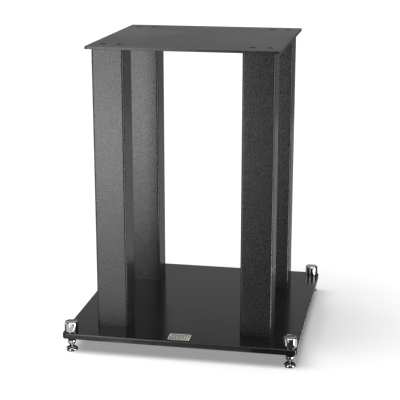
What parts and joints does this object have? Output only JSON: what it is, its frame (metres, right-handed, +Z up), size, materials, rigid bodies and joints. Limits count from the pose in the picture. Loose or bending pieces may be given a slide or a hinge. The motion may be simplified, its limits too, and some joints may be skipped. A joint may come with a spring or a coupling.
{
  "type": "speaker stand",
  "caption": "Black steel loudspeaker stand with a square top plate on rectangular tube pillars, bolted to a larger base plate that stands on adjustable chromed spikes in shoes.",
  "frame": {"origin": "on the floor, under the middle of the base plate", "axes": "+Z up, -Y towards the front edge that carries the badge, +X to the right seen from the front"},
  "size_m": [0.42, 0.42, 0.542],
  "materials": {
    "base_paint": "smooth semi-gloss black paint",
    "top_paint": "satin black paint",
    "pillar_paint": "fine textured black powder coat",
    "plain_steel": "bare machined",
    "black_steel": "black oxide, satin",
    "badge_metal": "satin brushed",
    "chrome": "polished"
  },
  "bodies": {
    "stand": {"base_plate": "base_paint", "top_plate": "top_paint", "pillar_front_left": "pillar_paint", "pillar_front_right": "pillar_paint", "pillar_rear_left": "pillar_paint", "pillar_rear_right": "pillar_paint", "top_end_plate_front_left": "plain_steel", "top_end_plate_front_right": "plain_steel", "top_end_plate_rear_left": "plain_steel", "top_end_plate_rear_right": "plain_steel", "bottom_end_plate_front_left": "plain_steel", "bottom_end_plate_front_right": "plain_steel", "bottom_end_plate_rear_left": "plain_steel", "bottom_end_plate_rear_right": "plain_steel", "top_plate_screws": "black_steel", "base_plate_screws": "black_steel", "badge": "badge_metal"},
    "shoe_front_left": {"spike_shoe_front_left": "chrome"},
    "spike_front_left": {"spike_front_left": "chrome"},
    "nut_washer_front_left": {"lock_nut_washer_front_left": "black_steel"},
    "nut_front_left": {"lock_nut_front_left": "black_steel"},
    "cap_washer_front_left": {"cap_washer_front_left": "chrome"},
    "cap_front_left": {"spike_cap_front_left": "chrome"},
    "shoe_front_right": {"spike_shoe_front_right": "chrome"},
    "spike_front_right": {"spike_front_right": "chrome"},
    "nut_washer_front_right": {"lock_nut_washer_front_right": "black_steel"},
    "nut_front_right": {"lock_nut_front_right": "black_steel"},
    "cap_washer_front_right": {"cap_washer_front_right": "chrome"},
    "cap_front_right": {"spike_cap_front_right": "chrome"},
    "shoe_rear_left": {"spike_shoe_rear_left": "chrome"},
    "spike_rear_left": {"spike_rear_left": "chrome"},
    "nut_washer_rear_left": {"lock_nut_washer_rear_left": "black_steel"},
    "nut_rear_left": {"lock_nut_rear_left": "black_steel"},
    "cap_washer_rear_left": {"cap_washer_rear_left": "chrome"},
    "cap_rear_left": {"spike_cap_rear_left": "chrome"},
    "shoe_rear_right": {"spike_shoe_rear_right": "chrome"},
    "spike_rear_right": {"spike_rear_right": "chrome"},
    "nut_washer_rear_right": {"lock_nut_washer_rear_right": "black_steel"},
    "nut_rear_right": {"lock_nut_rear_right": "black_steel"},
    "cap_washer_rear_right": {"cap_washer_rear_right": "chrome"},
    "cap_rear_right": {"spike_cap_rear_right": "chrome"}
  },
  "joints": [
    {"name": "level_front_left", "type": "slide", "parent": "stand", "child": "shoe_front_left", "axis": [0, 0, 1], "range_m": [-0.005, 0]},
    {"name": "spike_turn_front_left", "type": "hinge", "parent": "shoe_front_left", "child": "spike_front_left", "pos_m": [-0.196, -0.195, 0.0034], "axis": [0, 0, 1], "range_deg": [-1440, 0]},
    {"name": "nut_drop_front_left", "type": "slide", "parent": "stand", "child": "nut_washer_front_left", "axis": [0, 0, 1], "range_m": [-0.0009, 0]},
    {"name": "nut_turn_front_left", "type": "hinge", "parent": "nut_washer_front_left", "child": "nut_front_left", "pos_m": [-0.196, -0.195, 0.0244], "axis": [0, 0, 1], "range_deg": [-259.2, 0]},
    {"name": "cap_lift_front_left", "type": "slide", "parent": "stand", "child": "cap_washer_front_left", "axis": [0, 0, 1], "range_m": [0, 0.00625]},
    {"name": "cap_turn_front_left", "type": "hinge", "parent": "cap_washer_front_left", "child": "cap_front_left", "pos_m": [-0.196, -0.195, 0.0372], "axis": [0, 0, 1], "range_deg": [0, 1800]},
    {"name": "level_front_right", "type": "slide", "parent": "stand", "child": "shoe_front_right", "axis": [0, 0, 1], "range_m": [-0.005, 0]},
    {"name": "spike_turn_front_right", "type": "hinge", "parent": "shoe_front_right", "child": "spike_front_right", "pos_m": [0.196, -0.195, 0.0034], "axis": [0, 0, 1], "range_deg": [-1440, 0]},
    {"name": "nut_drop_front_right", "type": "slide", "parent": "stand", "child": "nut_washer_front_right", "axis": [0, 0, 1], "range_m": [-0.0009, 0]},
    {"name": "nut_turn_front_right", "type": "hinge", "parent": "nut_washer_front_right", "child": "nut_front_right", "pos_m": [0.196, -0.195, 0.0244], "axis": [0, 0, 1], "range_deg": [-259.2, 0]},
    {"name": "cap_lift_front_right", "type": "slide", "parent": "stand", "child": "cap_washer_front_right", "axis": [0, 0, 1], "range_m": [0, 0.00625]},
    {"name": "cap_turn_front_right", "type": "hinge", "parent": "cap_washer_front_right", "child": "cap_front_right", "pos_m": [0.196, -0.195, 0.0372], "axis": [0, 0, 1], "range_deg": [0, 1800]},
    {"name": "level_rear_left", "type": "slide", "parent": "stand", "child": "shoe_rear_left", "axis": [0, 0, 1], "range_m": [-0.005, 0]},
    {"name": "spike_turn_rear_left", "type": "hinge", "parent": "shoe_rear_left", "child": "spike_rear_left", "pos_m": [-0.196, 0.195, 0.0034], "axis": [0, 0, 1], "range_deg": [-1440, 0]},
    {"name": "nut_drop_rear_left", "type": "slide", "parent": "stand", "child": "nut_washer_rear_left", "axis": [0, 0, 1], "range_m": [-0.0009, 0]},
    {"name": "nut_turn_rear_left", "type": "hinge", "parent": "nut_washer_rear_left", "child": "nut_rear_left", "pos_m": [-0.196, 0.195, 0.0244], "axis": [0, 0, 1], "range_deg": [-259.2, 0]},
    {"name": "cap_lift_rear_left", "type": "slide", "parent": "stand", "child": "cap_washer_rear_left", "axis": [0, 0, 1], "range_m": [0, 0.00625]},
    {"name": "cap_turn_rear_left", "type": "hinge", "parent": "cap_washer_rear_left", "child": "cap_rear_left", "pos_m": [-0.196, 0.195, 0.0372], "axis": [0, 0, 1], "range_deg": [0, 1800]},
    {"name": "level_rear_right", "type": "slide", "parent": "stand", "child": "shoe_rear_right", "axis": [0, 0, 1], "range_m": [-0.005, 0]},
    {"name": "spike_turn_rear_right", "type": "hinge", "parent": "shoe_rear_right", "child": "spike_rear_right", "pos_m": [0.196, 0.195, 0.0034], "axis": [0, 0, 1], "range_deg": [-1440, 0]},
    {"name": "nut_drop_rear_right", "type": "slide", "parent": "stand", "child": "nut_washer_rear_right", "axis": [0, 0, 1], "range_m": [-0.0009, 0]},
    {"name": "nut_turn_rear_right", "type": "hinge", "parent": "nut_washer_rear_right", "child": "nut_rear_right", "pos_m": [0.196, 0.195, 0.0244], "axis": [0, 0, 1], "range_deg": [-259.2, 0]},
    {"name": "cap_lift_rear_right", "type": "slide", "parent": "stand", "child": "cap_washer_rear_right", "axis": [0, 0, 1], "range_m": [0, 0.00625]},
    {"name": "cap_turn_rear_right", "type": "hinge", "parent": "cap_washer_rear_right", "child": "cap_rear_right", "pos_m": [0.196, 0.195, 0.0372], "axis": [0, 0, 1], "range_deg": [0, 1800]}
  ],
  "couplings": [
    {"joint": "spike_turn_front_left", "follows": "level_front_left", "rad_per_m": 5026.5},
    {"joint": "nut_turn_front_left", "follows": "nut_drop_front_left", "rad_per_m": 5026.5},
    {"joint": "cap_turn_front_left", "follows": "cap_lift_front_left", "rad_per_m": 5026.5},
    {"joint": "spike_turn_front_right", "follows": "level_front_right", "rad_per_m": 5026.5},
    {"joint": "nut_turn_front_right", "follows": "nut_drop_front_right", "rad_per_m": 5026.5},
    {"joint": "cap_turn_front_right", "follows": "cap_lift_front_right", "rad_per_m": 5026.5},
    {"joint": "spike_turn_rear_left", "follows": "level_rear_left", "rad_per_m": 5026.5},
    {"joint": "nut_turn_rear_left", "follows": "nut_drop_rear_left", "rad_per_m": 5026.5},
    {"joint": "cap_turn_rear_left", "follows": "cap_lift_rear_left", "rad_per_m": 5026.5},
    {"joint": "spike_turn_rear_right", "follows": "level_rear_right", "rad_per_m": 5026.5},
    {"joint": "nut_turn_rear_right", "follows": "nut_drop_rear_right", "rad_per_m": 5026.5},
    {"joint": "cap_turn_rear_right", "follows": "cap_lift_rear_right", "rad_per_m": 5026.5}
  ]
}
